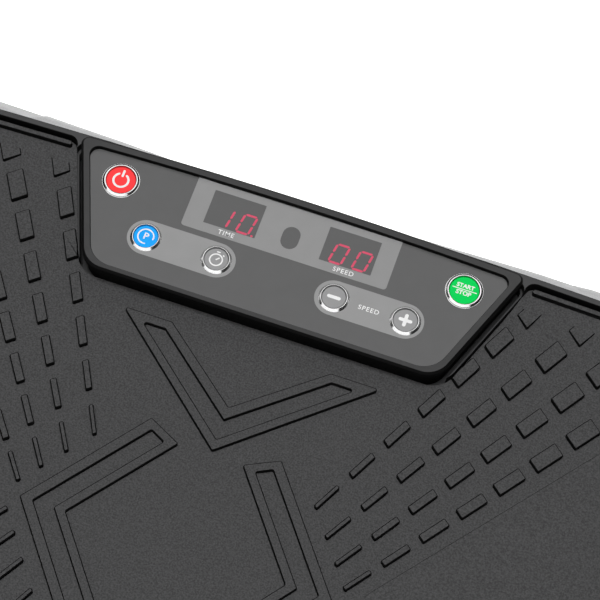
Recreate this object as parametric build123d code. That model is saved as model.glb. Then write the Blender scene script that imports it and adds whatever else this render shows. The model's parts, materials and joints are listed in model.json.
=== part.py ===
from build123d import *
import math
import os

# Vibration plate: a fixed base, and a deck that rocks on a pivot shaft.
# Millimetres. +X runs along the long side, +Y towards the console, +Z up.
# The origin is under the middle of the plate, on the floor.

# ---- overall sizes -------------------------------------------------------
LENGTH = 745.0
HALF_LENGTH = LENGTH / 2
END_BULGE = 6.5                # how far the short ends swell
SKIRT_EDGE_MID = 216.2         # half depth of the skirt at its waist
SKIRT_EDGE_MAX = 220.0         # half depth where it is widest
SKIRT_WAIST_X = 110.0          # where the hollow waist turns into the full side
SKIRT_WIDE_X = 238.0           # where the side is widest
SKIRT_CORNER_R = 80.0
SKIRT_WALL = 3.0
SKIRT_SHOULDER_R = 8.0
COVER_EDGE_MID = 213.5         # half depth of the black cover
COVER_SIDE_R = 5700.0          # the cover's long sides are slightly full
COVER_HALF_LENGTH = 363.0
COVER_CORNER_R = 72.0

# ---- heights -------------------------------------------------------------
FOOT_H = 16.0
PAN_FLOOR_Z = FOOT_H
PAN_WALL = 3.0
PLATE_Z = PAN_FLOOR_Z + PAN_WALL
BASE_STEEL = 2.5
STEEL_TOP = PLATE_Z + BASE_STEEL
PAN_TOP_Z = 62.0
SKIRT_LOW_Z = 46.0
DECK_Z = 92.0                  # underside of the deck's steel plate
DECK_STEEL = 3.0
DECK_TOP = DECK_Z + DECK_STEEL
COVER_FLOOR_Z = 105.7
COVER_WALL = 3.0
MAT_UNDER_Z = COVER_FLOOR_Z + COVER_WALL
MAT_Z = 112.7                  # the mat's flat standing surface
BORDER_STEPS = ((27.0, 0.0), (21.5, 1.2), (16.0, 2.8), (11.0, 4.6))  # inset and rise of the border's slope
MAT_BORDER_Z = MAT_Z + BORDER_STEPS[-1][1]
MAT_LIP_Z = 121.0
LIP_OUT, LIP_W = 4.9, 3.1
RIB_H = 2.6
STUD_H = 2.8
STUD_MOAT_W, STUD_MOAT_D = 0.45, 0.4  # fine groove round the foot of every stud
STUD_CORNER_R, RIB_CORNER_R = 0.9, 1.2
SKIRT_TOP_Z = 123.0
COVER_TOP_Z = 124.0
BEZEL_LOW_Z = 125.0
LENS_Z = 127.0
BEZEL_TOP_Z = 130.0

# ---- rocking drive -------------------------------------------------------
ROCK_DEG = 1.1
PIVOT_Z = 72.0
PIVOT_R = 10.0
RUN_GAP = 0.05                 # radial gap of a shaft in its bearing
CRANK_X = 182.3
CRANK_Z = 58.0
THROW = CRANK_X * math.sin(math.radians(ROCK_DEG))
MOTOR_X = 80.0
MOTOR_Z = 56.0
MOTOR_R = 29.0
MOTOR_Y0, MOTOR_Y1 = -40.0, 80.0
MOTOR_PULLEY_R = 13.0
CRANK_PULLEY_R = 25.0
BELT_Y0, BELT_Y1 = 101.0, 113.0
BELT_T = 3.0
BELT_GAP = 0.3
YOKE_Y = 60.0
CRANK_BLOCK_Y = 88.0
PIVOT_BLOCK_Y = 145.0
PIVOT_EAR_Y = 120.0
STOP_X, STOP_Y = 300.0, 120.0
PIVOT_BLOCK_HALF, CRANK_BLOCK_HALF = 17.0, 14.0
FLANGE, FLANGE_T = 16.0, 6.0    # foot flange of a bearing block

# ---- console -------------------------------------------------------------
CONSOLE_Y = 167.5              # the console's own zero line, from the centre
CONSOLE_HALF_W = 115.2         # half width of the bezel on that line
CONSOLE_SPREAD = 0.383         # how fast it widens towards the back
CONSOLE_BACK = 44.0
CONSOLE_CORNER = 41.2
CONSOLE_FRONT = 34.4
BEZEL_OVERHANG = 2.5
MAT_NOTCH = 2.6                # the mat stays this far out from the bezel's sides
COLLAR_Z, COLLAR_T = 118.5, 1.3  # thin wall between the mat and the console's sides
COLLAR_BACK = -2.5
BUTTON_Y_BIG, BUTTON_Y_SMALL = 22.0, -6.3
BUTTONS = {                    # name: (x, y on the console, cap radius, ring radius)
    "power": (-100.2, BUTTON_Y_BIG, 8.2, 10.7),
    "start": (100.2, BUTTON_Y_BIG, 8.2, 10.7),
    "program": (-75.2, BUTTON_Y_SMALL, 6.7, 8.7),
    "timer": (-34.1, BUTTON_Y_SMALL, 6.7, 8.7),
    "slower": (34.1, BUTTON_Y_SMALL, 6.7, 8.7),
    "faster": (75.2, BUTTON_Y_SMALL, 6.7, 8.7),
}
BUTTON_TRAVEL = 0.8
CAP_GAP = 0.25
RING_PROUD = 2.0
CAP_PROUD = 0.9
WINDOW_X, WINDOW_Y = 33.7, 23.9
WINDOW_W, WINDOW_H = 30.0, 21.3
BOARD_Z = 113.4

# ---- grip pattern on the mat ---------------------------------------------
BAR_START = (-37.0, 65.8)      # outer corner of the left bar's end
BAR_ANGLE = 52.5               # the bars run down and outwards at this angle
ROW_FIRST = 16.3               # first stud row, measured square to the bar
ROW_PITCH = 24.0
ROW_COUNT = 10
COLUMN_COUNT = 4
FAN_X, FAN_Y = 65.2, -202.5    # the stud columns fan out from this point
FAN_START, FAN_STEP = 0.513, 0.0766
STUD_LENGTH = 17.4
STUD_END_ANGLE = 40.0
STUD_W_FIRST, STUD_W_STEP = 2.7, 1.2
FOOT_AREA_COLUMN = 3.67        # the fan line along which the plain foot areas begin
FOOT_AREA_DEEP = 0.6

BASE_X, BASE_Y = 352.0, 204.0  # half sizes of the base pan
COVER_SCREW_X, COVER_SCREW_Y = 320.0, 160.0
BOLT_R = 2.9
FOOT_X, FOOT_Y, FOOT_R = 288.0, 150.0, 27.0
SOCKET_X, SWITCH_X = -60.0, -112.0
SWITCH_Y, SWITCH_PIN_R, SWITCH_TILT = BASE_Y - 1.5, 1.2, 6.0
SOCKET_Z = 31.0


# ---- small helpers -------------------------------------------------------
def prism(face, low, high):
    return extrude(Pos(0, 0, low) * face, high - low)


def rod_y(x, z, radius, y_low, y_high):
    """A round rod along Y."""
    return Pos(x, (y_low + y_high) / 2, z) * Rot(90, 0, 0) * Cylinder(radius, y_high - y_low)


def rod_z(x, y, radius, low, high):
    return Pos(x, y, (low + high) / 2) * Cylinder(radius, high - low)


def block(x0, x1, y0, y1, z0, z1):
    return Pos((x0 + x1) / 2, (y0 + y1) / 2, (z0 + z1) / 2) * Box(x1 - x0, y1 - y0, z1 - z0)


def polygon(points):
    return make_face(Polyline(*points, close=True))


def corners(x, y):
    return [(sx * x, sy * y) for sy in (-1, 1) for sx in (-1, 1)]


# ---- outlines ------------------------------------------------------------
def skirt_outline():
    """Long sides with a slight waist, swollen ends and round corners."""
    waist_y = SKIRT_EDGE_MID + (SKIRT_EDGE_MAX - SKIRT_EDGE_MID) * SKIRT_WAIST_X / SKIRT_WIDE_X
    end_x = HALF_LENGTH - END_BULGE
    edges = []
    for s in (1, -1):
        edges.append(ThreePointArc((-SKIRT_WAIST_X, s * waist_y), (0, s * SKIRT_EDGE_MID),
                                   (SKIRT_WAIST_X, s * waist_y)))
        for e in (1, -1):
            edges.append(ThreePointArc((e * SKIRT_WAIST_X, s * waist_y), (e * SKIRT_WIDE_X, s * SKIRT_EDGE_MAX),
                                       (e * end_x, s * waist_y)))
    for e in (1, -1):
        edges.append(ThreePointArc((e * end_x, waist_y), (e * HALF_LENGTH, 0), (e * end_x, -waist_y)))
    face = make_face(edges)
    ends = face.vertices().filter_by(lambda v: abs(v.X) > SKIRT_WIDE_X)
    return fillet(ends, SKIRT_CORNER_R)


def cover_outline():
    end_x = COVER_HALF_LENGTH - END_BULGE
    side_y = COVER_EDGE_MID - end_x ** 2 / (2 * COVER_SIDE_R)
    edges = []
    for s in (1, -1):
        edges.append(ThreePointArc((-end_x, s * side_y), (0, s * COVER_EDGE_MID), (end_x, s * side_y)))
        edges.append(ThreePointArc((s * end_x, side_y), (s * COVER_HALF_LENGTH, 0), (s * end_x, -side_y)))
    face = make_face(edges)
    return fillet(face.vertices(), COVER_CORNER_R)


def console_outline(side=0.0, back=0.0, front=0.0, back_r=4.5, front_r=15.0):
    """A trapezium with a slightly full back edge, moved out by the given amounts."""
    y_back = CONSOLE_CORNER + back
    y_front = -CONSOLE_FRONT - front
    x_back = CONSOLE_HALF_W + side + CONSOLE_SPREAD * y_back
    x_front = CONSOLE_HALF_W + side + CONSOLE_SPREAD * y_front
    face = make_face([
        ThreePointArc((-x_back, y_back), (0, CONSOLE_BACK + back), (x_back, y_back)),
        Line((x_back, y_back), (x_front, y_front)),
        Line((x_front, y_front), (-x_front, y_front)),
        Line((-x_front, y_front), (-x_back, y_back)),
    ])
    face = fillet(face.vertices().filter_by(lambda v: v.Y > 0), back_r)
    face = fillet(face.vertices().filter_by(lambda v: v.Y < y_front + 1), front_r)
    return Pos(0, CONSOLE_Y) * face


def inner(face, amount):
    return offset(face, -amount)


def mat_outline(gap):
    """The mat's edge: inside the cover's rim and round the console."""
    face = inner(cover_outline(), 3.6 + gap)
    notch = console_outline(side=MAT_NOTCH + gap, back=20.0, front=gap - BEZEL_OVERHANG, back_r=1.0)
    face = (face - notch).face()
    near = face.vertices().filter_by(lambda v: v.Y > 195 and abs(v.X) < 145)
    return fillet(near, 5.5)


# ---- grip pattern --------------------------------------------------------
def chevron(outer, inner_points, rec_outer, rec_inner):
    """A raised outline: a band bent at its middle, with a recess along it."""
    band = fillet(polygon(outer + inner_points[::-1]).vertices(), RIB_CORNER_R)
    recess = fillet(polygon(rec_outer + rec_inner[::-1]).vertices(), STUD_CORNER_R)
    return band - recess


def console_chevron():
    """The V in front of the console."""
    top = CONSOLE_Y - 44.5
    low = CONSOLE_Y - 109.1
    rib_y = CONSOLE_Y - 49.9
    return chevron([(-74.5, top), (0, low), (74.5, top)],
                   [(-45.8, top), (0, low + 27.0), (45.8, top)],
                   [(-61.0, rib_y), (0, low + 7.2), (61.0, rib_y)],
                   [(-48.0, rib_y), (0, low + 19.0), (48.0, rib_y)])


def bar_chevron():
    """The left pair of bars, which meet on the plate's long centre line."""
    run = 1 / math.tan(math.radians(BAR_ANGLE))

    def bent(x, y):
        return [(x, y), (x - y * run, 0), (x, -y)]

    return chevron(bent(*BAR_START), bent(-18.1, 56.4), bent(-34.5, 59.0), bent(-26.2, 54.7))


def stud_place(column, row):
    """Where a fan line of the studs crosses a row parallel to the bar."""
    angle = math.radians(BAR_ANGLE)
    normal = (-math.sin(angle), math.cos(angle))
    away = ROW_FIRST + ROW_PITCH * row
    px, py = BAR_START[0] + normal[0] * away, BAR_START[1] + normal[1] * away
    lean = FAN_START + FAN_STEP * column
    reach = (FAN_X - lean * (py - FAN_Y) - px) / (math.cos(angle) + lean * math.sin(angle))
    return px + reach * math.cos(angle), py + reach * math.sin(angle), lean


def stud(column, row, grow):
    """One leaning stud with slanted ends, grown all round by the given amount."""
    x, y, lean = stud_place(column, row)
    width = STUD_W_FIRST + STUD_W_STEP * row
    tilt = math.atan(lean)
    ax, ay = -math.sin(tilt) * STUD_LENGTH / 2, math.cos(tilt) * STUD_LENGTH / 2
    end = math.radians(STUD_END_ANGLE)
    bx, by = math.cos(end) * width / 2, math.sin(end) * width / 2
    face = polygon([(x + ax - bx, y + ay - by), (x + ax + bx, y + ay + by),
                    (x - ax + bx, y - ay + by), (x - ax - bx, y - ay - by)])
    face = fillet(face.vertices(), STUD_CORNER_R)
    return offset(face, grow) if grow else face


def stud_faces(grow=0.0):
    """The left back quarter's studs, mirrored to all four quarters."""
    faces = []
    edge = inner(cover_outline(), 13.0).face()
    for column in range(COLUMN_COUNT):
        for row in range(ROW_COUNT):
            x, y, lean = stud_place(column, row)
            if y < 10.0 or not edge.is_inside(Vector(x, y, 0)):
                continue
            one = stud(column, row, grow)
            for across in (False, True):
                for along in (False, True):
                    copy = mirror(one, Plane.YZ) if across else one
                    copy = mirror(copy, Plane.XZ) if along else copy
                    faces.append(copy)
    return faces


def foot_area():
    """The left foot area: plain, a little sunk, bounded by two fan lines."""
    lean = FAN_START + FAN_STEP * FOOT_AREA_COLUMN

    def on_line(y):
        return (FAN_X - lean * (y - FAN_Y), y)

    top = on_line(SKIRT_EDGE_MID)
    wedge = polygon([on_line(0), top, (-HALF_LENGTH, top[1]), (-HALF_LENGTH, -top[1]), (top[0], -top[1])])
    area = (wedge & inner(cover_outline(), 30.0)).face()
    return fillet(area.vertices().filter_by(lambda v: abs(v.Y) < 180 and v.X > -250), 20.0)


# ---- deck ----------------------------------------------------------------
def deck_mat():
    """The rubber sheet with its raised pattern and the sunk foot areas."""
    mat = prism(mat_outline(0.3), MAT_UNDER_Z, MAT_Z)
    for area in (foot_area(), mirror(foot_area(), Plane.YZ)):
        mat = mat - prism(area, MAT_Z - FOOT_AREA_DEEP, MAT_Z + 1)
    mat = mat - [prism(face, MAT_Z - STUD_MOAT_D, MAT_Z + 1) for face in stud_faces(STUD_MOAT_W)]
    pattern = [console_chevron(), mirror(console_chevron(), Plane.XZ),
               bar_chevron(), mirror(bar_chevron(), Plane.YZ)]
    ribs = [prism(face, MAT_Z - 0.5, MAT_Z + RIB_H) for face in pattern]
    pattern_top = MAT_Z + STUD_H
    return (mat + ribs + studs(MAT_Z - 0.5)) & prism(mat_outline(0.3), MAT_UNDER_Z, pattern_top)


def studs(low):
    return [prism(face, low, MAT_Z + STUD_H) for face in stud_faces()]


def mat_border():
    """The hollow slope that rises from the sheet to a shelf with the lip bar; the outermost studs run into it."""
    cover = cover_outline()
    border = prism(mat_outline(0.3), MAT_Z, MAT_BORDER_Z)
    levels = [Pos(0, 0, MAT_Z + rise) * inner(cover, inset) for inset, rise in BORDER_STEPS]
    for low, high in zip(levels, levels[1:]):
        border = border - loft([low, high], ruled=True)
    lip = prism(inner(cover, LIP_OUT) - inner(cover, LIP_OUT + LIP_W), MAT_BORDER_Z - 2, MAT_LIP_Z)
    lip = lip - prism(console_outline(side=5.8, back=20), 0, MAT_LIP_Z + 1)
    ends = lip.edges().filter_by(Axis.Z).filter_by(lambda e: abs(e.center().X) < 160 and e.center().Y > 190)
    return border + fillet(ends, LIP_W * 0.45) - studs(MAT_Z - 1)


def cover_rim():
    """The black frame round the mat, with a cusp at each side of the console."""
    room = 0.4 - BEZEL_OVERHANG
    band = cover_outline() - mat_outline(0.0) - console_outline(room, room, room)
    rim = prism(band, MAT_UNDER_Z, COVER_TOP_Z)
    collar = console_outline(MAT_NOTCH + 0.1, COLLAR_BACK, 3.0)
    rim = rim - prism(collar, COLLAR_Z, COVER_TOP_Z + 1)
    groove = console_outline(MAT_NOTCH - COLLAR_T, COLLAR_BACK, 3.0)
    return rim - prism(groove, MAT_UNDER_Z + 1, COVER_TOP_Z + 1)


def top_cover():
    """The moulded floor under the mat, with its skirt wall, ribs and bosses."""
    outline = cover_outline()
    cover = prism(outline, DECK_TOP, MAT_UNDER_Z)
    cover = cover - prism(inner(outline, 3.6), DECK_TOP - 1, COVER_FLOOR_Z)
    cover = cover - block(-30, 30, CONSOLE_Y - 20, CONSOLE_Y + 20, DECK_TOP, MAT_UNDER_Z + 1)
    ribs = [block(x - 1.5, x + 1.5, -196, 196, DECK_TOP, COVER_FLOOR_Z) for x in (-240, -80, 80, 240)]
    ribs += [block(-345, 345, y - 1.5, y + 1.5, DECK_TOP, COVER_FLOOR_Z) for y in (-100, 0, 100)]
    bosses = [rod_z(x, y, 7, DECK_TOP, COVER_FLOOR_Z) - rod_z(x, y, BOLT_R, DECK_TOP - 1, COVER_FLOOR_Z - 1)
              for x, y in corners(COVER_SCREW_X, COVER_SCREW_Y)]
    return cover + ribs + bosses


def side_skirt():
    outline = skirt_outline()
    skirt = prism(outline, SKIRT_LOW_Z, SKIRT_TOP_Z)
    rim = skirt.faces().sort_by(Axis.Z)[-1].outer_wire().edges()
    skirt = fillet(rim, SKIRT_SHOULDER_R)
    skirt = skirt - prism(inner(outline, SKIRT_WALL), SKIRT_LOW_Z - 1, 112.0)
    return skirt - prism(offset(cover_outline(), 0.25), 90.0, SKIRT_TOP_Z + 1)


def deck_plate():
    plate = prism(RectangleRounded(690, 392, 60), DECK_Z, DECK_TOP)
    for x in (-200, 0, 200):
        for y in (-20, 20):
            width = 70 if x else 30
            plate = plate - block(x - width / 2, x + width / 2, y - 12, y + 12, DECK_Z - 1, DECK_TOP + 1)
    for x, y in corners(COVER_SCREW_X, COVER_SCREW_Y):
        plate = plate - rod_z(x, y, BOLT_R + 0.1, DECK_Z - 1, DECK_TOP + 1)
    return plate


def pivot_ear(y):
    """A bracket under the deck plate that grips the pivot shaft."""
    cheek = block(-24, 24, y - 6, y + 6, PIVOT_Z, DECK_Z) + rod_y(0, PIVOT_Z, 18, y - 6, y + 6)
    return cheek - rod_y(0, PIVOT_Z, PIVOT_R, y - 7, y + 7)


def yoke(y):
    """The fork under the deck that the eccentric pushes up and down."""
    half_w, half_h = 20.0, 23.3
    plate = block(CRANK_X - 29, CRANK_X + 29, y - 5, y + 5, CRANK_Z - half_h - 5.5, DECK_Z)
    return plate - block(CRANK_X - half_w, CRANK_X + half_w, y - 6, y + 6, CRANK_Z - half_h, CRANK_Z + half_h)


# ---- console -------------------------------------------------------------
def console_body():
    """The tray that carries the bezel, lens and board."""
    out = -BEZEL_OVERHANG
    body = prism(console_outline(out, out, out), MAT_UNDER_Z, BEZEL_LOW_Z)
    hole = console_outline(out - 4, out - 4, out - 4, back_r=3.0, front_r=12.0)
    body = body - prism(hole, MAT_UNDER_Z + 2, BEZEL_LOW_Z + 1)
    body = body - block(-12, 12, CONSOLE_Y - 12, CONSOLE_Y + 12, MAT_UNDER_Z - 1, MAT_UNDER_Z + 3)
    posts = [rod_z(x, CONSOLE_Y + y, 3, MAT_UNDER_Z + 1.9, BOARD_Z) for x, y in ((-88, 2), (88, 2), (-55, 24), (55, 24))]
    return body + posts


def lens_outline(gap=0.0):
    return console_outline(-5.0 - gap, -4.5 - gap, -3.7 - gap, back_r=5.0, front_r=15.0)


def console_bezel():
    bezel = prism(console_outline(), BEZEL_LOW_Z, BEZEL_TOP_Z)
    top = bezel.faces().sort_by(Axis.Z)[-1].outer_wire().edges()
    bezel = chamfer(top, 1.2)
    return bezel - prism(lens_outline(), BEZEL_LOW_Z - 1, BEZEL_TOP_Z + 1)


def window_face(x, gap):
    return Pos(x, CONSOLE_Y + WINDOW_Y) * Rectangle(WINDOW_W - 2 * gap, WINDOW_H - 2 * gap)


def sensor_face(gap):
    slot = SlotOverall(14.0 - 2 * gap, 10.0 - 2 * gap)
    return Pos(0, CONSOLE_Y + 20.3) * Rot(0, 0, 90) * slot


def console_lens():
    lens = prism(lens_outline(0.15), BEZEL_LOW_Z, LENS_Z)
    for x in (-WINDOW_X, WINDOW_X):
        lens = lens - prism(window_face(x, 0), BEZEL_LOW_Z - 1, LENS_Z + 1)
    lens = lens - prism(sensor_face(0), BEZEL_LOW_Z - 1, LENS_Z + 1)
    for x, y, cap_r, ring_r in BUTTONS.values():
        lens = lens - rod_z(x, CONSOLE_Y + y, cap_r + 1.5, BEZEL_LOW_Z - 1, LENS_Z + 1)
    return lens


def button_ring(name):
    """A bevelled ring on the lens, with a sleeve that guides the cap."""
    x, y, cap_r, ring_r = BUTTONS[name]
    top, bore = LENS_Z + RING_PROUD, cap_r + CAP_GAP
    sleeve = cap_r + 1.4
    profile = polygon([(bore, LENS_Z - 5), (sleeve, LENS_Z - 5), (sleeve, LENS_Z), (ring_r, LENS_Z),
                       (ring_r, top - 0.8), (ring_r - 0.7, top), (bore + 0.7, top), (bore, top - 0.9)])
    return Pos(x, CONSOLE_Y + y) * revolve(Plane.XZ * profile, Axis.Z)


def button_cap(name):
    x, y, cap_r, ring_r = BUTTONS[name]
    top = LENS_Z + CAP_PROUD
    profile = polygon([(0, LENS_Z - 7.3), (cap_r + 1.1, LENS_Z - 7.3), (cap_r + 1.1, LENS_Z - 5.5),
                       (cap_r, LENS_Z - 5.5), (cap_r, top - 0.4), (cap_r - 0.4, top), (0, top)])
    return Pos(x, CONSOLE_Y + y) * revolve(Plane.XZ * profile, Axis.Z)


def control_board():
    """The console's board with a push switch under each cap."""
    board = prism(console_outline(-10, -10, -10, back_r=3, front_r=8), BOARD_Z, BOARD_Z + 1.6)
    switches = [block(x - 3, x + 3, CONSOLE_Y + y - 3, CONSOLE_Y + y + 3, BOARD_Z + 1.6, LENS_Z - 8.4)
                for x, y, cap_r, ring_r in BUTTONS.values()]
    return board + switches


def digit_module(x):
    return block(x - 12.6, x + 12.6, CONSOLE_Y + WINDOW_Y - 12.5, CONSOLE_Y + WINDOW_Y + 6.5,
                 BOARD_Z + 1.6, BEZEL_LOW_Z - 1.0)


# ---- base ----------------------------------------------------------------
def base_pan():
    """The black tray under the deck, with the mains inlet and switch in its back wall."""
    outline = RectangleRounded(2 * BASE_X, 2 * BASE_Y, 70)
    pan = prism(outline, PAN_FLOOR_Z, PAN_TOP_Z)
    pan = chamfer(pan.faces().sort_by(Axis.Z)[0].edges(), 5.0)
    pan = pan - prism(inner(outline, PAN_WALL), PLATE_Z, PAN_TOP_Z + 1)
    pan = pan - block(SOCKET_X - 13.8, SOCKET_X + 13.8, BASE_Y - 8, BASE_Y + 1, SOCKET_Z - 9.8, SOCKET_Z + 9.8)
    pan = pan - block(SWITCH_X - 10.2, SWITCH_X + 10.2, BASE_Y - 8, BASE_Y + 1, SOCKET_Z - 7.2, SOCKET_Z + 7.2)
    for x, y in corners(FOOT_X, FOOT_Y):
        pan = pan - rod_z(x, y, 3.0, PAN_FLOOR_Z - 1, PLATE_Z + 1)
    return pan


def base_plate():
    plate = prism(RectangleRounded(2 * BASE_X - 24, 2 * BASE_Y - 60, 40), PLATE_Z, STEEL_TOP)
    for x, y in corners(FOOT_X, FOOT_Y):
        plate = plate - rod_z(x, y, 3.0, PLATE_Z - 1, STEEL_TOP + 1)
    for x, y in bolt_places():
        plate = plate - rod_z(x, y, BOLT_R + 0.1, PLATE_Z - 1, STEEL_TOP + 1)
    return plate


def foot(x, y):
    """A rubber suction foot: a flared cup under a short neck."""
    profile = make_face([
        Line((0, 1.5), (FOOT_R - 7, 1.5)),
        Line((FOOT_R - 7, 1.5), (FOOT_R - 5.5, 0)),
        Line((FOOT_R - 5.5, 0), (FOOT_R, 0)),
        Line((FOOT_R, 0), (FOOT_R, 2)),
        ThreePointArc((FOOT_R, 2), (19.5, 6.2), (15, 11)),
        Line((15, 11), (15, FOOT_H)),
        Line((15, FOOT_H), (0, FOOT_H)),
        Line((0, FOOT_H), (0, 1.5)),
    ])
    cup = Pos(x, y) * revolve(Plane.XZ * profile, Axis.Z)
    return cup - rod_z(x, y, 3.0, 6.0, FOOT_H + 1)


def screw_down(x, y, low, seat):
    """A screw that is driven downwards, its head on the seat."""
    return rod_z(x, y, BOLT_R, low, seat) + rod_z(x, y, 5.0, seat, seat + 3)


def screw_up(x, y, seat, high):
    """A screw that is driven upwards from below the seat."""
    return rod_z(x, y, BOLT_R, seat, high) + rod_z(x, y, 5.0, seat - 3, seat)


def pedestal(x, y, z, half_w, bore, top):
    """A bearing block with a flanged foot, standing on the steel base plate."""
    body = block(x - half_w, x + half_w, y - 8, y + 8, STEEL_TOP, z) + rod_y(x, z, top - z, y - 8, y + 8)
    flange = block(x - half_w - FLANGE, x + half_w + FLANGE, y - 8, y + 8, STEEL_TOP, STEEL_TOP + FLANGE_T)
    body = body + flange - rod_y(x, z, bore, y - 9, y + 9)
    for side in (-1, 1):
        body = body - rod_z(x + side * (half_w + FLANGE / 2), y, BOLT_R + 0.1, STEEL_TOP - 1, STEEL_TOP + FLANGE_T + 1)
    return body


def bolt_places():
    """Where the bearing blocks are bolted down."""
    rows = ((0, PIVOT_BLOCK_Y, PIVOT_BLOCK_HALF), (CRANK_X, CRANK_BLOCK_Y, CRANK_BLOCK_HALF))
    return [(x + side * (half_w + FLANGE / 2), end * y)
            for x, y, half_w in rows for side in (-1, 1) for end in (-1, 1)]


def bearing(x, y, z, r_in, r_out):
    return rod_y(x, z, r_out, y - 7, y + 7) - rod_y(x, z, r_in, y - 8, y + 8)


def motor_bracket():
    """An angle plate that the motor's face is bolted to."""
    face = block(MOTOR_X - 34, MOTOR_X + 34, MOTOR_Y1, MOTOR_Y1 + 4, STEEL_TOP, 86)
    sole = block(MOTOR_X - 34, MOTOR_X + 34, MOTOR_Y1 - 60, MOTOR_Y1 + 4, STEEL_TOP, STEEL_TOP + 3)
    return face + sole - rod_y(MOTOR_X, MOTOR_Z, 9, MOTOR_Y1 - 1, MOTOR_Y1 + 5)


def motor_housing():
    can = rod_y(MOTOR_X, MOTOR_Z, MOTOR_R, MOTOR_Y0, MOTOR_Y1)
    can = can - rod_y(MOTOR_X, MOTOR_Z, MOTOR_R - 3, MOTOR_Y0 + 4, MOTOR_Y1 - 4)
    return can - rod_y(MOTOR_X, MOTOR_Z, 5 + RUN_GAP, MOTOR_Y0 - 1, MOTOR_Y1 + 1)


def motor_rotor():
    shaft = rod_y(MOTOR_X, MOTOR_Z, 5, MOTOR_Y0 - 4, BELT_Y1 + 4)
    return shaft + rod_y(MOTOR_X, MOTOR_Z, MOTOR_R - 5, MOTOR_Y0 + 12, MOTOR_Y1 - 12)


def pulley(x, z, radius, bore):
    """A flat belt pulley with two low flanges."""
    wheel = rod_y(x, z, radius, BELT_Y0 - 0.5, BELT_Y1 + 0.5)
    for y in (BELT_Y0 - 2, BELT_Y1 + 0.5):
        wheel = wheel + rod_y(x, z, radius + 2, y, y + 1.5)
    return wheel - rod_y(x, z, bore, BELT_Y0 - 3, BELT_Y1 + 3)


def belt_loop(grow):
    """The outline round both pulleys, with straight runs between them."""
    r1, r2 = MOTOR_PULLEY_R + grow, CRANK_PULLEY_R + grow
    dx, dz = CRANK_X - MOTOR_X, CRANK_Z - MOTOR_Z
    lie = math.atan2(dz, dx)
    open_angle = math.acos((r1 - r2) / math.hypot(dx, dz))

    def at(cx, cz, r, angle):
        return (cx + r * math.cos(angle), cz + r * math.sin(angle))

    up, down = lie + open_angle, lie - open_angle
    a1, a2 = at(MOTOR_X, MOTOR_Z, r1, up), at(CRANK_X, CRANK_Z, r2, up)
    b1, b2 = at(MOTOR_X, MOTOR_Z, r1, down), at(CRANK_X, CRANK_Z, r2, down)
    return make_face([Line(a1, a2), ThreePointArc(a2, at(CRANK_X, CRANK_Z, r2, lie), b2), Line(b2, b1),
                      ThreePointArc(b1, at(MOTOR_X, MOTOR_Z, r1, lie + math.pi), a1)])


def drive_belt():
    ring = belt_loop(BELT_GAP + BELT_T) - belt_loop(BELT_GAP)
    return extrude(Plane.XZ.offset(-BELT_Y1) * ring, BELT_Y1 - BELT_Y0)


def crank_shaft():
    """The shaft with an eccentric at each yoke."""
    shaft = rod_y(CRANK_X, CRANK_Z, 6.0, -CRANK_BLOCK_Y - 12, BELT_Y1 + 4)
    for y in (-YOKE_Y, YOKE_Y):
        shaft = shaft + rod_y(CRANK_X + THROW, CRANK_Z, 10.5, y - 9, y + 9)
    return shaft


def eccentric_bearings():
    return [bearing(CRANK_X + THROW, y, CRANK_Z, 10.5, 15.0) for y in (-YOKE_Y, YOKE_Y)]


def travel_stop(x, y):
    """A rubber buffer that ends the deck's rocking."""
    reach = DECK_Z - STOP_X * math.sin(math.radians(ROCK_DEG)) - 1.2
    return rod_z(x, y, 20, STEEL_TOP, STEEL_TOP + 5) + rod_z(x, y, 13, STEEL_TOP + 5, reach)


def power_board():
    """The motor's supply and speed board on four posts."""
    board = block(-250, -140, -45, 45, STEEL_TOP + 6, STEEL_TOP + 7.6)
    posts = [rod_z(x - 195, y, 3, STEEL_TOP, STEEL_TOP + 6) for x, y in corners(48, 38)]
    parts = [block(-240, -215, -30, 30, STEEL_TOP + 7.6, STEEL_TOP + 32),
             rod_z(-190, 20, 12, STEEL_TOP + 7.6, STEEL_TOP + 40),
             rod_z(-190, -14, 12, STEEL_TOP + 7.6, STEEL_TOP + 40),
             block(-170, -150, -25, 25, STEEL_TOP + 7.6, STEEL_TOP + 20)]
    return board + posts + parts


def power_inlet():
    """A three-pin mains inlet, set in the back wall."""
    low_y = BASE_Y - 26
    body = block(SOCKET_X - 13.6, SOCKET_X + 13.6, low_y, BASE_Y, SOCKET_Z - 9.6, SOCKET_Z + 9.6)
    body = body + block(SOCKET_X - 19, SOCKET_X + 19, BASE_Y, BASE_Y + 2, SOCKET_Z - 12, SOCKET_Z + 12)
    body = body - block(SOCKET_X - 12, SOCKET_X + 12, low_y + 3, BASE_Y + 3, SOCKET_Z - 8, SOCKET_Z + 8)
    pins = [block(SOCKET_X + dx - 1, SOCKET_X + dx + 1, low_y + 2, low_y + 16, SOCKET_Z + dz - 2, SOCKET_Z + dz + 2)
            for dx, dz in ((-7, -2), (0, 2), (7, -2))]
    return body + pins


def switch_frame():
    low_y = BASE_Y - 18
    body = block(SWITCH_X - 10, SWITCH_X + 10, low_y, BASE_Y, SOCKET_Z - 7, SOCKET_Z + 7)
    body = body + block(SWITCH_X - 12.5, SWITCH_X + 12.5, BASE_Y, BASE_Y + 2, SOCKET_Z - 9.5, SOCKET_Z + 9.5)
    body = body - block(SWITCH_X - 8.6, SWITCH_X + 8.6, low_y + 4, BASE_Y + 3, SOCKET_Z - 5.6, SOCKET_Z + 5.6)
    return body - rod_z(SWITCH_X, SWITCH_Y, SWITCH_PIN_R + RUN_GAP, SOCKET_Z - 6.7, SOCKET_Z + 6.7)


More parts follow.
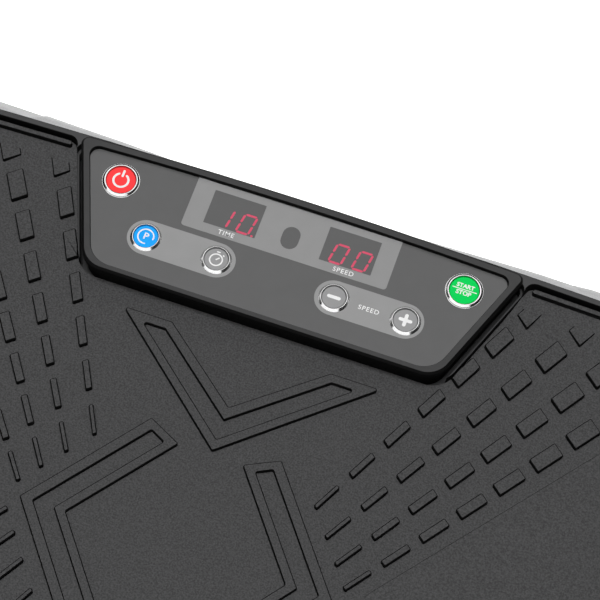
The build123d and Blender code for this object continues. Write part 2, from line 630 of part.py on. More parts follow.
def mains_rocker():
    """The switch's rocker, resting in its off position."""
    key = block(-7.7, 7.7, -4.5, 4.9, -5.2, 5.2)
    key = chamfer(key.edges().filter_by(Axis.Z).filter_by(lambda e: e.center().Y < 0), 3.5)
    key = key + rod_z(0, 0, SWITCH_PIN_R, -6.5, 6.5)
    return Pos(SWITCH_X, SWITCH_Y, SOCKET_Z) * Rot(0, 0, SWITCH_TILT) * key


def parts():
    nodes = {
        "base_pan": base_pan(), "base_plate": base_plate(),
        "foot_screws": [screw_down(x, y, 8.0, STEEL_TOP) for x, y in corners(FOOT_X, FOOT_Y)],
        "block_bolts": [screw_down(x, y, PLATE_Z, STEEL_TOP + FLANGE_T) for x, y in bolt_places()],
        "motor_bracket": motor_bracket(), "motor_housing": motor_housing(), "motor_rotor": motor_rotor(),
        "motor_pulley": pulley(MOTOR_X, MOTOR_Z, MOTOR_PULLEY_R, 5.0),
        "crank_pulley": pulley(CRANK_X, CRANK_Z, CRANK_PULLEY_R, 6.0),
        "drive_belt": drive_belt(), "crank_shaft": crank_shaft(), "eccentric_bearings": eccentric_bearings(),
        "pivot_shaft": rod_y(0, PIVOT_Z, PIVOT_R, -156, 156),
        "travel_stops": [travel_stop(x, y) for x, y in corners(STOP_X, STOP_Y)],
        "power_board": power_board(), "power_inlet": power_inlet(), "switch_frame": switch_frame(),
        "mains_rocker": mains_rocker(), "deck_plate": deck_plate(), "top_cover": top_cover(),
        "cover_screws": [screw_up(x, y, DECK_Z, COVER_FLOOR_Z - 2) for x, y in corners(COVER_SCREW_X, COVER_SCREW_Y)],
        "cover_rim": cover_rim(), "side_skirt": side_skirt(), "deck_mat": deck_mat(), "mat_border": mat_border(),
        "console_body": console_body(),
        "console_bezel": console_bezel(), "console_lens": console_lens(), "control_board": control_board(),
        "sensor_window": prism(sensor_face(0), BEZEL_LOW_Z, LENS_Z),
    }
    for side, y in (("front", -1), ("back", 1)):
        nodes[f"pivot_block_{side}"] = pedestal(0, y * PIVOT_BLOCK_Y, PIVOT_Z, PIVOT_BLOCK_HALF, 15.0, 90.0)
        nodes[f"pivot_bearing_{side}"] = bearing(0, y * PIVOT_BLOCK_Y, PIVOT_Z, PIVOT_R + RUN_GAP, 15.0)
        nodes[f"pivot_ear_{side}"] = pivot_ear(y * PIVOT_EAR_Y)
        nodes[f"crank_block_{side}"] = pedestal(CRANK_X, y * CRANK_BLOCK_Y, CRANK_Z, CRANK_BLOCK_HALF,
                                                6.0 + RUN_GAP, 76.0)
        nodes[f"yoke_{side}"] = yoke(y * YOKE_Y)
        for end, x in (("left", -1), ("right", 1)):
            nodes[f"foot_{side}_{end}"] = foot(x * FOOT_X, y * FOOT_Y)
    for name, x in (("time", -WINDOW_X), ("speed", WINDOW_X)):
        nodes[f"{name}_display"] = digit_module(x)
        nodes[f"{name}_window"] = prism(window_face(x, 0), BEZEL_LOW_Z, LENS_Z)
    for name in BUTTONS:
        nodes[f"{name}_ring"] = button_ring(name)
        nodes[f"{name}_button"] = button_cap(name)
    return nodes


os.makedirs("parts", exist_ok=True)
for node, shape in parts().items():
    solids = list(shape) if isinstance(shape, list) else list(shape.solids())
    export_step(Compound(children=solids) if len(solids) > 1 else solids[0], f"parts/{node}.step")
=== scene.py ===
import json
import math

import bmesh
import bpy
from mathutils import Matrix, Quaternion, Vector


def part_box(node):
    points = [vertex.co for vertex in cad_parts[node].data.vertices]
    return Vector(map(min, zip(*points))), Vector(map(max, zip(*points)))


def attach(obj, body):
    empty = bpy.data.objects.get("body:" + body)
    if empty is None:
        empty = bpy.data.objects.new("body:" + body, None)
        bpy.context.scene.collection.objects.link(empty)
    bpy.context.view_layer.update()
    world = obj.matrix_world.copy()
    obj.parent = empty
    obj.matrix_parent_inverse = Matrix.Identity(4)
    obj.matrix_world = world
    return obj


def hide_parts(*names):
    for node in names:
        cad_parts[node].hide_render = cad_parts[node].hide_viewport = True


# The looks of a vibration plate around its CAD frame: metres, +Z up, the console towards +Y.
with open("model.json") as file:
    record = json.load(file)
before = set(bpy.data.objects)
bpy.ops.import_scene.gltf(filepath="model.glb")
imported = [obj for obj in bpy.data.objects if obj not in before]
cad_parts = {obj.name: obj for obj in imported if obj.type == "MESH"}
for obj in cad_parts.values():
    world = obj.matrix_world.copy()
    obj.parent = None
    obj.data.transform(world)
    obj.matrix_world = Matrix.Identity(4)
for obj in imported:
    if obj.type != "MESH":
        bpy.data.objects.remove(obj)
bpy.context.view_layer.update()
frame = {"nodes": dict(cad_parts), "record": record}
SHARP_ANGLE = 28                # degrees between two faces from which their edge counts as sharp
PAINTED_SHADE_SLOPE = 0.93               # a face whose normal rises less than this is a wall or a rounded edge, and gets a near-black finish as painted shade
MM = 0.001
SLOT_OF = {part["node"]: part["material_slot"] for part in frame["record"]["subparts"]}
BODY_OF = {node: body for body, nodes in frame["record"]["behaviour"]["bodies"].items() for node in nodes}
BUTTONS = ("power", "start", "program", "timer", "slower", "faster")
CAP_SHARE = 0.729                # height of a capital over the font's size


# ---- places, all from the frame -------------------------------------------
def middle(node):
    low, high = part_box(node)
    return (low + high) / 2


def high_z(node):
    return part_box(node)[1].z


LENS_TOP = high_z("console_lens")
CONSOLE_Y = middle("power_ring").y - 22.0 * MM      # the console's own zero line
PRINT_T = 0.04 * MM                                 # how proud the printing stands


def console(x, y):
    """A point on the console, given in its own millimetres, as row-frame x and y."""
    return x * MM, CONSOLE_Y + y * MM


# ---- outlines, as lists of points in the units they are given -------------
def arc(cx, cy, radius, start, end, steps=24):
    """Points on an arc; the angles are in degrees, anticlockwise from +X."""
    angles = [math.radians(start + (end - start) * i / steps) for i in range(steps + 1)]
    return [(cx + radius * math.cos(a), cy + radius * math.sin(a)) for a in angles]


def circle(cx, cy, radius, steps=64):
    return arc(cx, cy, radius, 0, 360 - 360 / steps, steps - 1)


def round_box(x0, x1, y0, y1, radius):
    turns = ((x1 - radius, y0 + radius, -90), (x1 - radius, y1 - radius, 0),
             (x0 + radius, y1 - radius, 90), (x0 + radius, y0 + radius, 180))
    return [point for cx, cy, start in turns for point in arc(cx, cy, radius, start, start + 90, 10)]


def arc_band(cx, cy, radius, width, start, end):
    """A bent line with round ends."""
    half = width / 2
    outer = arc(cx, cy, radius + half, start, end, 40)
    inner = arc(cx, cy, radius - half, end, start, 40)
    end_x, end_y = arc(cx, cy, radius, end, end, 1)[0]
    start_x, start_y = arc(cx, cy, radius, start, start, 1)[0]
    return (outer + arc(end_x, end_y, half, end, end + 180, 8)[1:-1] + inner
            + arc(start_x, start_y, half, start + 180, start + 360, 8)[1:-1])


def bar(cx, cy, length, width, angle=0.0):
    """A straight line with round ends."""
    reach = (length - width) / 2
    dx, dy = reach * math.cos(math.radians(angle)), reach * math.sin(math.radians(angle))
    return (arc(cx + dx, cy + dy, width / 2, angle - 90, angle + 90, 10)
            + arc(cx - dx, cy - dy, width / 2, angle + 90, angle + 270, 10))


def plus(cx, cy, length, width):
    """Four arms with round ends as one outline."""
    points = []
    reach, half = (length - width) / 2, width / 2
    for quarter in range(4):
        angle = math.radians(90 * quarter)
        ax, ay = cx + reach * math.cos(angle), cy + reach * math.sin(angle)
        points += arc(ax, ay, half, 90 * quarter - 90, 90 * quarter + 90, 10)
        corner = angle + math.radians(45)
        points.append((cx + half * math.sqrt(2) * math.cos(corner), cy + half * math.sqrt(2) * math.sin(corner)))
    return points


# ---- making pieces --------------------------------------------------------
def add_piece(name, mesh, finish, body, *nodes, smooth_angle=35):
    """Puts a mesh into the scene as a piece of the object; printing has a finish but no slot in the record."""
    mesh.polygons.foreach_set("use_smooth", [True] * len(mesh.polygons))
    mesh.set_sharp_from_angle(angle=math.radians(smooth_angle))
    piece = bpy.data.objects.new(name, mesh)
    bpy.context.scene.collection.objects.link(piece)
    mesh.materials.append(finish_of(finish))
    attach(piece, body)
    if nodes:
        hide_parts(*nodes)
    return piece


def weigh_normals(piece):
    modifier = piece.modifiers.new("weighted", "WEIGHTED_NORMAL")
    modifier.keep_sharp = True
    modifier.weight = 100


def soften(node, width, drop, painted_shade_finish):
    """Stands for a CAD node with a mesh whose top edges are rounded, with its walls and rounded edges in a
    near-black finish of their own that paints in their shade.

    The top edges are the sharp outer ones that lie less than the given drop below the node's top.
    """
    shape = bmesh.new()
    shape.from_mesh(frame["nodes"][node].data)
    bmesh.ops.remove_doubles(shape, verts=shape.verts, dist=0.002 * MM)
    bmesh.ops.dissolve_limit(shape, angle_limit=math.radians(0.05), verts=shape.verts, edges=shape.edges)
    lowest = high_z(node) - drop * MM
    edges = [edge for edge in shape.edges
             if len(edge.link_faces) == 2 and edge.is_convex
             and edge.calc_face_angle(0.0) > math.radians(SHARP_ANGLE)
             and min(end.co.z for end in edge.verts) > lowest]
    bmesh.ops.bevel(shape, geom=edges, offset=width * MM, offset_type="OFFSET", segments=2, profile=0.5,
                    affect="EDGES", clamp_overlap=False)
    bmesh.ops.recalc_face_normals(shape, faces=shape.faces)
    # Painted shade: steep faces, walls and rounded edges alike, get the near-black second finish that stands in for
    # their shade.
    for face in shape.faces:
        face.material_index = 1 if abs(face.normal.z) < PAINTED_SHADE_SLOPE else 0
    mesh = bpy.data.meshes.new(node + "_soft")
    shape.to_mesh(mesh)
    shape.free()
    piece = add_piece(node + "_soft", mesh, SLOT_OF[node], BODY_OF[node], node)
    mesh.materials.append(finish_of(painted_shade_finish))
    weigh_normals(piece)


def lathe(name, profile, centre, base_z, slot, body, *nodes, steps=96):
    """Turns a closed profile of (radius, height) in millimetres about a vertical line."""
    shape = bmesh.new()
    rings = []
    for radius, height in profile:
        if radius == 0:
            rings.append([shape.verts.new((centre.x, centre.y, base_z + height * MM))])
            continue
        ring = []
        for i in range(steps):
            angle = 2 * math.pi * i / steps
            ring.append(shape.verts.new((centre.x + radius * MM * math.cos(angle),
                                         centre.y + radius * MM * math.sin(angle), base_z + height * MM)))
        rings.append(ring)
    for lower, upper in zip(rings, rings[1:] + rings[:1]):
        if len(lower) == 1 and len(upper) == 1:
            continue
        for i in range(steps):
            j = (i + 1) % steps
            corners = [lower[i % len(lower)], lower[j % len(lower)], upper[j % len(upper)], upper[i % len(upper)]]
            shape.faces.new(list(dict.fromkeys(corners)))
    bmesh.ops.recalc_face_normals(shape, faces=shape.faces)
    mesh = bpy.data.meshes.new(name)
    shape.to_mesh(mesh)
    shape.free()
    return add_piece(name, mesh, slot, body, *nodes)


def curve_to_mesh(name, curve, place):
    """The mesh of a filled curve or a text, welded, with its middle line at the given height."""
    holder = bpy.data.objects.new(name, curve)
    bpy.context.scene.collection.objects.link(holder)
    bpy.context.view_layer.update()
    mesh = bpy.data.meshes.new_from_object(holder)
    bpy.data.objects.remove(holder)
    shape = bmesh.new()
    shape.from_mesh(mesh)
    bmesh.ops.remove_doubles(shape, verts=shape.verts, dist=0.0005 * MM)
    bmesh.ops.translate(shape, verts=shape.verts, vec=place)
    shape.to_mesh(mesh)
    shape.free()
    mesh.name = name
    return mesh


def printed(name, loops, base_z, slot, body, proud=PRINT_T):
    """A thin flat layer cut to closed loops; a loop inside another is a hole."""
    curve = bpy.data.curves.new(name, "CURVE")
    curve.dimensions, curve.fill_mode = "2D", "BOTH"
    curve.extrude = proud
    for loop in loops:
        spline = curve.splines.new("POLY")
        spline.points.add(len(loop) - 1)
        for point, (x, y) in zip(spline.points, loop):
            point.co = (x * MM, y * MM, 0, 1)
        spline.use_cyclic_u = True
    return add_piece(name, curve_to_mesh(name, curve, (0, CONSOLE_Y, base_z)), slot, body)


def lettering(name, words, centre, height, base_z, body, spacing=1.0, bold=0.0):
    """A short generic word, its middle at a place on the console."""
    text = bpy.data.curves.new(name, "FONT")
    text.body = words
    text.align_x, text.align_y = "CENTER", "CENTER"
    text.size = height * MM / CAP_SHARE
    text.space_character = spacing
    text.offset = bold * MM
    text.extrude = PRINT_T
    x, y = console(*centre)
    return add_piece(name, curve_to_mesh(name, text, (x, y, base_z)), "white_print", body)




# ---- finishes -------------------------------------------------------------
class Finish:
    """A Principled material built up from procedural layers."""

    def __init__(self, name, colour, roughness, **sockets):
        self.material = bpy.data.materials.new(name)
        self.material.use_nodes = True
        self.tree = self.material.node_tree
        self.shader = self.tree.nodes["Principled BSDF"]
        self.colour = colour
        self.shader.inputs["Base Color"].default_value = (*colour, 1)
        self.shader.inputs["Roughness"].default_value = roughness
        for socket, value in sockets.items():
            self.shader.inputs[socket.replace("_", " ")].default_value = value
        self.place = self.tree.nodes.new("ShaderNodeTexCoord")
        self.last_bump = None

    def node(self, kind, **inputs):
        made = self.tree.nodes.new(kind)
        for socket, value in inputs.items():
            made.inputs[socket.replace("_", " ")].default_value = value
        return made

    def join(self, output, socket):
        self.tree.links.new(output, socket)

    def noise(self, size, detail=3.0, stretch=(1, 1, 1)):
        """Noise whose features are about size millimetres, drawn out along an axis by a stretch below 1."""
        mapping = self.node("ShaderNodeMapping", Scale=stretch)
        texture = self.node("ShaderNodeTexNoise", Scale=1 / (size * MM), Detail=detail)
        self.join(self.place.outputs["Object"], mapping.inputs["Vector"])
        self.join(mapping.outputs["Vector"], texture.inputs["Vector"])
        return texture.outputs["Fac"]

    def cells(self, size, output="Distance"):
        texture = self.node("ShaderNodeTexVoronoi", Scale=1 / (size * MM))
        self.join(self.place.outputs["Object"], texture.inputs["Vector"])
        return texture.outputs[output]

    def spread(self, factor, low, high, start=0.3, end=0.7):
        remap = self.node("ShaderNodeMapRange", From_Min=start, From_Max=end, To_Min=low, To_Max=high)
        self.join(factor, remap.inputs["Value"])
        return remap.outputs["Result"]

    def mottle(self, factor, amount, colour=None):
        """Lightens and darkens the colour by the share given, or blends towards a second colour."""
        mix = self.tree.nodes.new("ShaderNodeMix")
        mix.data_type = "RGBA"
        other = colour or [c * (1 + amount) for c in self.colour]
        first = self.colour if colour else [c * (1 - amount) for c in self.colour]
        mix.inputs[7].default_value = (*other, 1)
        mix.inputs[6].default_value = (*first, 1)
        self.join(self.spread(factor, 0, 1), mix.inputs["Factor"])
        self.join(mix.outputs[2], self.shader.inputs["Base Color"])
        return self

    def rough(self, factor, low, high):
        self.join(self.spread(factor, low, high), self.shader.inputs["Roughness"])
        return self

    def bump(self, factor, depth):
        """Relief of the depth given, in millimetres, over what is there already."""
        made = self.node("ShaderNodeBump", Distance=depth * MM, Strength=1.0)
        self.join(factor, made.inputs["Height"])
        if self.last_bump:
            self.join(self.last_bump.outputs["Normal"], made.inputs["Normal"])
        self.join(made.outputs["Normal"], self.shader.inputs["Normal"])
        self.last_bump = made
        return self


def moulded(name, colour, roughness, grain=0.5, depth=0.012, **sockets):
    """Moulded plastic: a fine spark-eroded grain and a little unevenness in tone and gloss."""
    made = Finish(name, colour, roughness, **sockets)
    made.mottle(made.noise(9.0), 0.06)
    made.rough(made.noise(3.0), roughness - 0.05, roughness + 0.05)
    return made.bump(made.noise(grain, 2.0), depth)


def mat_rubber(name, colour, roughness, gloss=0.25):
    """Charcoal rubber with the fine leather grain of a grip mat and a fine random mottle in tone; in near-black it
    is also the painted shade on the mat's walls.
    """
    made = Finish(name, colour, roughness, Specular_IOR_Level=gloss)
    made.mottle(made.noise(0.9, 2.0), 0.35)
    made.rough(made.noise(0.8), roughness - 0.06, roughness + 0.08)
    made.bump(made.cells(0.9), 0.08)
    return made.bump(made.noise(0.8, 2.0), 0.12)


def rubber(name, colour, roughness):
    made = Finish(name, colour, roughness, Specular_IOR_Level=0.4)
    made.mottle(made.noise(4.0, 4.0), 0.12)
    return made.bump(made.noise(0.7, 3.0), 0.02)


def silver_paint(name, colour, roughness):
    """Silver paint: small flakes under a clear coat, with a faint orange peel."""
    made = Finish(name, colour, roughness, Metallic=0.1, Coat_Weight=0.2, Coat_Roughness=0.2)
    made.mottle(made.cells(0.35, "Color"), 0.07)
    made.rough(made.noise(0.4), roughness - 0.06, roughness + 0.06)
    return made.bump(made.noise(2.5), 0.004)


def glossy(name, colour, roughness, **sockets):
    """Polished plastic: faint waves, and a haze that varies its gloss."""
    made = Finish(name, colour, roughness, **sockets)
    made.mottle(made.noise(14.0), 0.03)
    made.rough(made.noise(5.0, 5.0), roughness, roughness + 0.05)
    return made.bump(made.noise(12.0), 0.003)


def chrome(name, colour, roughness):
    made = Finish(name, colour, roughness, Metallic=1.0)
    made.mottle(made.noise(2.0), 0.03)
    made.rough(made.noise(1.2, 4.0), roughness, roughness + 0.06)
    return made.bump(made.noise(1.5), 0.002)


def turned(name, colour, roughness, size=0.25):
    """Machined metal with fine tool marks round and along the part."""
    made = Finish(name, colour, roughness, Metallic=1.0)
    made.mottle(made.noise(6.0, 4.0), 0.1)
    made.rough(made.noise(2.0, 4.0), roughness - 0.06, roughness + 0.1)
    return made.bump(made.noise(size, 2.0, stretch=(0.05, 1, 0.05)), 0.004)


def cast(name, colour, roughness):
    made = Finish(name, colour, roughness, Metallic=0.7)
    made.mottle(made.noise(3.0, 5.0), 0.2)
    made.bump(made.cells(1.6), 0.08)
    return made.bump(made.noise(0.6, 4.0), 0.06)


def powder_coat(name, colour, roughness):
    made = Finish(name, colour, roughness)
    made.mottle(made.noise(5.0), 0.1)
    return made.bump(made.noise(1.2, 2.0), 0.03)


def circuit(name, colour, roughness):
    """Green solder mask with darker copper-free fields."""
    made = Finish(name, colour, roughness, Coat_Weight=0.3, Coat_Roughness=0.2)
    made.mottle(made.cells(5.0, "Color"), 0.35)
    return made.bump(made.cells(2.5), 0.02)


def lit(name, colour, strength):
    """A glowing diode segment, a little brighter at some spots."""
    made = Finish(name, (0.02, 0.002, 0.004), 0.4, Emission_Strength=strength)
    glow = made.tree.nodes.new("ShaderNodeMix")
    glow.data_type = "RGBA"
    glow.inputs[6].default_value = (*[c * 0.85 for c in colour], 1)
    glow.inputs[7].default_value = (*colour, 1)
    made.join(made.spread(made.noise(1.5), 0, 1), glow.inputs["Factor"])
    made.join(glow.outputs[2], made.shader.inputs["Emission Color"])
    return made


MAKERS = {
    "mat_rubber": lambda n: mat_rubber(n, (0.058, 0.058, 0.059), 0.66),
    # Painted shade: the next finish is near-black rubber for the mat's walls and rounded edges, standing in for
    # their shade.
    "mat_painted_shade": lambda n: mat_rubber(n, (0.004, 0.004, 0.004), 0.8, 0.08),
    # Painted shade: the next finish is near-black plastic for the walls and rounded edges of the rim and bezel and
    # for the whole console body, standing in for their shade.
    "cover_painted_shade": lambda n: moulded(n, (0.004, 0.004, 0.004), 0.6, Specular_IOR_Level=0.08),
    "foot_rubber": lambda n: rubber(n, (0.02, 0.02, 0.021), 0.6),
    "belt_rubber": lambda n: rubber(n, (0.015, 0.015, 0.015), 0.55),
    "pan_plastic": lambda n: moulded(n, (0.022, 0.022, 0.023), 0.5, depth=0.03),
    "cover_plastic": lambda n: moulded(n, (0.042, 0.042, 0.043), 0.48),
    "bezel_plastic": lambda n: moulded(n, (0.032, 0.032, 0.0325), 0.34, grain=0.5, depth=0.001, Specular_IOR_Level=0.35),
    "inlet_plastic": lambda n: moulded(n, (0.02, 0.02, 0.021), 0.4),
    "display_plastic": lambda n: moulded(n, (0.05, 0.05, 0.05), 0.5),
    "silver_plastic": lambda n: silver_paint(n, (0.57, 0.572, 0.575), 0.4),
    "lens_print": lambda n: glossy(n, (0.092, 0.092, 0.0925), 0.14, Specular_IOR_Level=0.4),
    "light_print": lambda n: glossy(n, (0.27, 0.27, 0.27), 0.2),
    "dim_print": lambda n: glossy(n, (0.25, 0.25, 0.25), 0.2),
    "white_print": lambda n: glossy(n, (0.83, 0.83, 0.83), 0.3),
    "smoke_plastic": lambda n: glossy(n, (0.09, 0.09, 0.0905), 0.1, Specular_IOR_Level=0.4),
    "red_cap": lambda n: glossy(n, (1.0, 0.055, 0.06), 0.45, Specular_IOR_Level=0.12),
    "green_cap": lambda n: glossy(n, (0.0, 0.66, 0.1), 0.45, Specular_IOR_Level=0.12),
    "blue_cap": lambda n: glossy(n, (0.015, 0.39, 1.0), 0.45, Specular_IOR_Level=0.12),
    "grey_cap": lambda n: glossy(n, (0.28, 0.28, 0.282), 0.3),
    "rocker_plastic": lambda n: glossy(n, (0.55, 0.02, 0.02), 0.25),
    "chrome_ring": lambda n: chrome(n, (0.86, 0.86, 0.86), 0.16),
    "bright_steel": lambda n: turned(n, (0.62, 0.62, 0.62), 0.25),
    "zinc_steel": lambda n: turned(n, (0.6, 0.62, 0.64), 0.35),
    "machined_alloy": lambda n: turned(n, (0.75, 0.75, 0.76), 0.3),
    "painted_steel": lambda n: powder_coat(n, (0.035, 0.035, 0.037), 0.45),
    "motor_paint": lambda n: powder_coat(n, (0.2, 0.21, 0.23), 0.4),
    "cast_block": lambda n: cast(n, (0.2, 0.2, 0.21), 0.6),
    "circuit_board": lambda n: circuit(n, (0.02, 0.17, 0.06), 0.45),
    "digit_glow": lambda n: lit(n, (0.66, 0.06, 0.13), 1.0),
}
made_finishes = {}


def finish_of(name):
    if name not in made_finishes:
        made_finishes[name] = MAKERS[name](name).material
    return made_finishes[name]


def finish_nodes():
    """Gives every CAD node the finish of its slot, but the console body gets the near-black painted shade of the
    walls.
    """
    for node, piece in frame["nodes"].items():
        piece.data.materials.clear()
        piece.data.materials.append(finish_of("cover_painted_shade" if node == "console_body" else SLOT_OF[node]))


# ---- shells, mat and console ---------------------------------------------
def soften_shells():
    """Rounds the top edges of the mat and the console; their walls and rounded edges get a near-black finish as
    painted shade.
    """
    soften("deck_mat", 0.55, 0.5, "mat_painted_shade")
    soften("mat_border", 0.4, 0.5, "mat_painted_shade")
    soften("cover_rim", 0.4, 0.5, "cover_painted_shade")
    soften("console_bezel", 0.2, 0.5, "cover_painted_shade")


def add_ring(name):
    """A chrome ring: a sloping outside, a narrow flat top and a rounded bore; the two large ones have a flange."""
    node = f"{name}_ring"
    low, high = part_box(node)
    radius = (high.x - low.x) / 2 / MM
    bore, top = cap_radius(name) + 0.25, 1.35
    sleeve = [(bore, top - 0.5), (bore, -5.0), (bore + 1.1, -5.0), (bore + 1.1, 0.02)]
    if radius > 10:
        outside = [(radius, 0.02), (radius, 0.15), (radius - 0.15, 0.3), (radius - 0.5, 0.34), (radius - 0.6, 0.42),
                   (radius - 1.3, top - 0.12), (radius - 1.45, top)]
    else:
        outside = [(radius, 0.02), (radius, 0.12), (radius - 0.12, 0.26), (radius - 1.12, top - 0.12),
                   (radius - 1.25, top)]
    profile = outside + [(bore + 0.2, top), (bore + 0.05, top - 0.1)] + sleeve
    lathe(node + "_chrome", profile, middle(node), LENS_TOP, "chrome_ring", "deck", node)


def cap_radius(name):
    """The cap's visible radius, from the flange that its box gives."""
    low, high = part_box(f"{name}_button")
    return (high.x - low.x) / 2 / MM - 1.1


def add_cap(name):
    node = f"{name}_button"
    low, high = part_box(node)
    radius, height = cap_radius(name), (high.z - low.z) / MM
    profile = [(0, 0), (radius + 1.1, 0), (radius + 1.1, 1.8), (radius, 1.8), (radius, height - 0.35),
               (radius - 0.08, height - 0.15), (radius - 0.25, height - 0.03), (radius - 0.5, height), (0, height)]
    lathe(node + "_cap", profile, middle(node), low.z, SLOT_OF[node], BODY_OF[node], node)


def add_panel_printing():
    """The light band round the windows, the two light fields round the small buttons, and their words."""
    band = [(-60.0, 38.9), (-60.0, 9.5)] + arc(-58.2, 9.5, 1.8, 180, 270, 8)[1:]
    band += arc(57.5, 9.5, 1.8, 270, 360, 8) + [(59.3, 38.9)]
    window_x, window_y = middle("time_window").x / MM, (middle("time_window").y - CONSOLE_Y) / MM
    half_w, half_h = 15.0, 10.65
    holes = [round_box(x - half_w, x + half_w, window_y - half_h, window_y + half_h, 0.3)
             for x in (window_x, -window_x)]
    holes.append(bar(0, 20.3, 14.0, 10.0, 90))
    printed("panel_band", [band] + holes, LENS_TOP, "dim_print", "deck")
    for side, pair in ((-1, ("program", "timer")), (1, ("slower", "faster"))):
        inner_end, outer_end = 23.3, 85.6
        x0, x1 = sorted((side * inner_end, side * outer_end))
        rims = [circle(middle(f"{name}_ring").x / MM, (middle(f"{name}_ring").y - CONSOLE_Y) / MM, 8.3)
                for name in pair]
        printed(f"{pair[0]}_field", [round_box(x0, x1, -17.0, 4.2, 10.5)] + rims, LENS_TOP, "light_print", "deck")
    for name, words, centre, height in (("time_word", "TIME", (-34.3, 10.5), 2.8),
                                        ("speed_word", "SPEED", (33.9, 10.5), 2.8),
                                        ("speed_field_word", "SPEED", (54.3, -6.8), 2.8)):
        lettering(name, words, centre, height, LENS_TOP + PRINT_T, "deck", spacing=1.2, bold=0.04)


# ---- digits ---------------------------------------------------------------
DIGIT_H, DIGIT_W, STROKE, SLANT = 11.6, 7.1, 1.3, math.tan(math.radians(9.5))
SEGMENTS = {"a": (0.5, 1.0, 0), "b": (1.0, 0.75, 90), "c": (1.0, 0.25, 90), "d": (0.5, 0.0, 0),
            "e": (0.0, 0.25, 90), "f": (0.0, 0.75, 90), "g": (0.5, 0.5, 0)}
DIGITS = {"0": "abcdef", "1": "bc"}


def segment(left, foot, which):
    """One lit bar of a digit, with pointed ends, leaning with the digit."""
    share_x, share_y, angle = SEGMENTS[which]
    cx, cy = share_x * DIGIT_W, share_y * DIGIT_H
    length = (DIGIT_W if angle == 0 else DIGIT_H / 2) - 0.55
    half, tip = STROKE / 2, STROKE / 2
    along = [(-length / 2, 0), (-length / 2 + tip, -half), (length / 2 - tip, -half),
             (length / 2, 0), (length / 2 - tip, half), (-length / 2 + tip, half)]
    points = []
    for u, v in along:
        x, y = (cx + u, cy + v) if angle == 0 else (cx - v, cy + u)
        points.append((left + x + y * SLANT, foot + y))
    return points


def add_digits():
    foot = 14.1
    for name, digits, dots in (("time", (("1", -43.1), ("0", -30.0)), ((-20.7, foot - 0.1),)),
                               ("speed", (("0", 24.0), ("0", 37.4)), ())):
        loops = [segment(left, foot, which) for digit, left in digits for which in DIGITS[digit]]
        loops += [circle(x, y, 0.7, 20) for x, y in dots]
        printed(f"{name}_digits", loops, high_z(f"{name}_window"), "digit_glow", "deck")


# ---- marks on the caps ----------------------------------------------------
def add_mark(name, loops):
    """White printing on a button, drawn about the button's middle."""
    cx, cy = middle(f"{name}_button").x / MM, (middle(f"{name}_button").y - CONSOLE_Y) / MM
    placed = [[(x + cx, y + cy) for x, y in loop] for loop in loops]
    top = high_z(f"{name}_button")
    return printed(f"{name}_mark", placed, top, "white_print", f"{name}_button_body")


def add_marks():
    add_mark("power", [arc_band(0, -0.2, 4.2, 1.25, 122, 418), bar(0, 4.2, 4.6, 1.35, 90)])
    add_mark("program", [arc_band(0, 0, 4.4, 0.8, -8, 279)])
    add_mark("timer", [circle(0, -0.4, 3.9), circle(0, -0.4, 3.1), bar(0.7, 0.4, 2.6, 0.8, 45),
                       bar(0, 4.5, 2.2, 0.8, 0), bar(3.3, 3.1, 1.3, 0.7, -45)])
    add_mark("slower", [bar(0, 0, 7.8, 2.0)])
    add_mark("faster", [plus(0, 0, 7.8, 2.0)])
    add_mark("start", [bar(0, 0.3, 14.0, 0.5)])
    for name, words, dx, dy, height in (("program", "P", 0.1, 0.0, 4.1), ("start", "START", 0, 2.4, 2.5),
                                        ("start", "STOP", 0, -1.9, 2.6)):
        x, y = middle(f"{name}_button").x / MM + dx, (middle(f"{name}_button").y - CONSOLE_Y) / MM + dy
        lettering(f"{name}_{words.lower()}_word", words, (x, y), height, high_z(f"{name}_button"),
                  f"{name}_button_body", bold=0.12)


# ---- studio ---------------------------------------------------------------
def floor():
    mesh = bpy.data.meshes.new("floor")
    half = 40.0
    mesh.from_pydata([(-half, -half, 0), (half, -half, 0), (half, half, 0), (-half, half, 0)], [], [(0, 1, 2, 3)])
    ground = bpy.data.objects.new("floor", mesh)
    bpy.context.scene.collection.objects.link(ground)
    pale = Finish("pale_floor", (0.9, 0.9, 0.9), 0.9, Emission_Color=(1, 1, 1, 1), Emission_Strength=0.6)
    pale.mottle(pale.noise(400.0), 0.01)
    mesh.materials.append(pale.material)


def towards(azimuth, elevation):
    """A unit vector: azimuth 0 is +Y and 90 is +X."""
    a, e = math.radians(azimuth), math.radians(elevation)
    return Vector((math.sin(a) * math.cos(e), math.cos(a) * math.cos(e), math.sin(e)))


def softbox(name, azimuth, elevation, distance, width, height, power):
    """A rectangular soft light that looks at the console."""
    data = bpy.data.lights.new(name, "AREA")
    data.shape, data.size, data.size_y = "RECTANGLE", width, height
    data.energy = power
    lamp = bpy.data.objects.new(name, data)
    bpy.context.scene.collection.objects.link(lamp)
    away = towards(azimuth, elevation)
    lamp.location = middle("console_lens") + away * distance
    lamp.rotation_mode = "QUATERNION"
    lamp.rotation_quaternion = away.to_track_quat("Z", "Y")
    return lamp


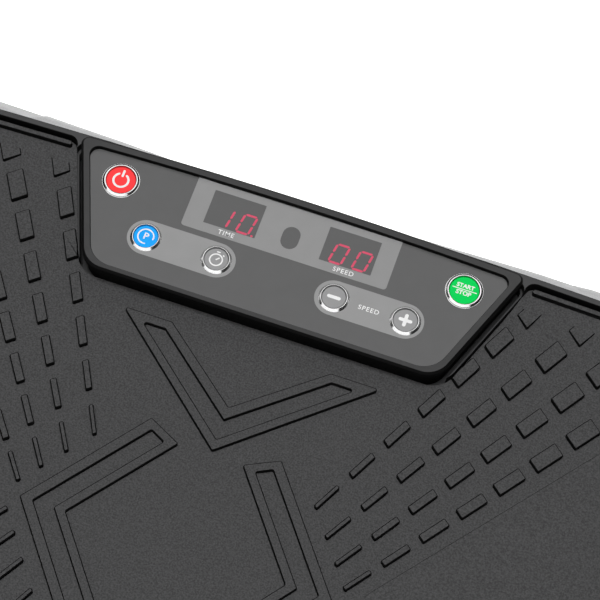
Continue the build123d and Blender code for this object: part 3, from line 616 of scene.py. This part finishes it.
def room():
    """A dim grey room with a pale wall that meets the floor at the horizon."""
    dim, pale, low, high = 0.03, 0.85, 0.06, 0.13
    world = bpy.data.worlds.new("room")
    world.use_nodes = True
    tree = world.node_tree
    around = tree.nodes.new("ShaderNodeTexCoord")
    height = tree.nodes.new("ShaderNodeSeparateXYZ")
    fade = tree.nodes.new("ShaderNodeMapRange")
    fade.interpolation_type = "SMOOTHSTEP"
    for socket, value in (("From Min", low), ("From Max", high), ("To Min", pale), ("To Max", dim)):
        fade.inputs[socket].default_value = value
    tree.links.new(around.outputs["Generated"], height.inputs["Vector"])
    tree.links.new(height.outputs["Z"], fade.inputs["Value"])
    sky = tree.nodes["Background"]
    sky.inputs["Color"].default_value = (1, 1, 1, 1)
    tree.links.new(fade.outputs["Result"], sky.inputs["Strength"])
    bpy.context.scene.world = world


def lights():
    """A soft key overhead, and pale boards that only show in the glossy surfaces."""
    room()
    softbox("key", 180, 82, 3.0, 1.0, 0.9, 89).visible_glossy = False
    for name, azimuth, elevation, width, height, power in (
            ("back_board", -15, 63, 3.4, 2.2, 30), ("front_board", 187, 32, 7.0, 1.6, 42)):
        softbox(name, azimuth, elevation, 3.0, width, height, power).visible_diffuse = False
    bpy.context.scene.view_settings.view_transform = "Standard"


def camera():
    """Looks down over the front edge, a little from the right, with a slight roll."""
    azimuth, elevation, roll, distance = 13.8, 64.534, 5.453, 1.4598
    target = Vector((17.3 * MM, CONSOLE_Y - 14.37 * MM, LENS_TOP))
    data = bpy.data.cameras.new("camera")
    data.sensor_width, data.lens = 36.0, 160.4
    data.shift_y = 1 / 600
    data.clip_start, data.clip_end = 0.05, 50
    eye = bpy.data.objects.new("camera", data)
    bpy.context.scene.collection.objects.link(eye)
    away = towards(180 - azimuth, elevation)
    eye.location = target + away * distance
    eye.rotation_mode = "QUATERNION"
    eye.rotation_quaternion = away.to_track_quat("Z", "Y") @ Quaternion((0, 0, 1), math.radians(roll))
    bpy.context.scene.camera = eye


finish_nodes()
soften_shells()
for button in BUTTONS:
    add_ring(button)
    add_cap(button)
add_panel_printing()
add_digits()
add_marks()
floor()
lights()
camera()
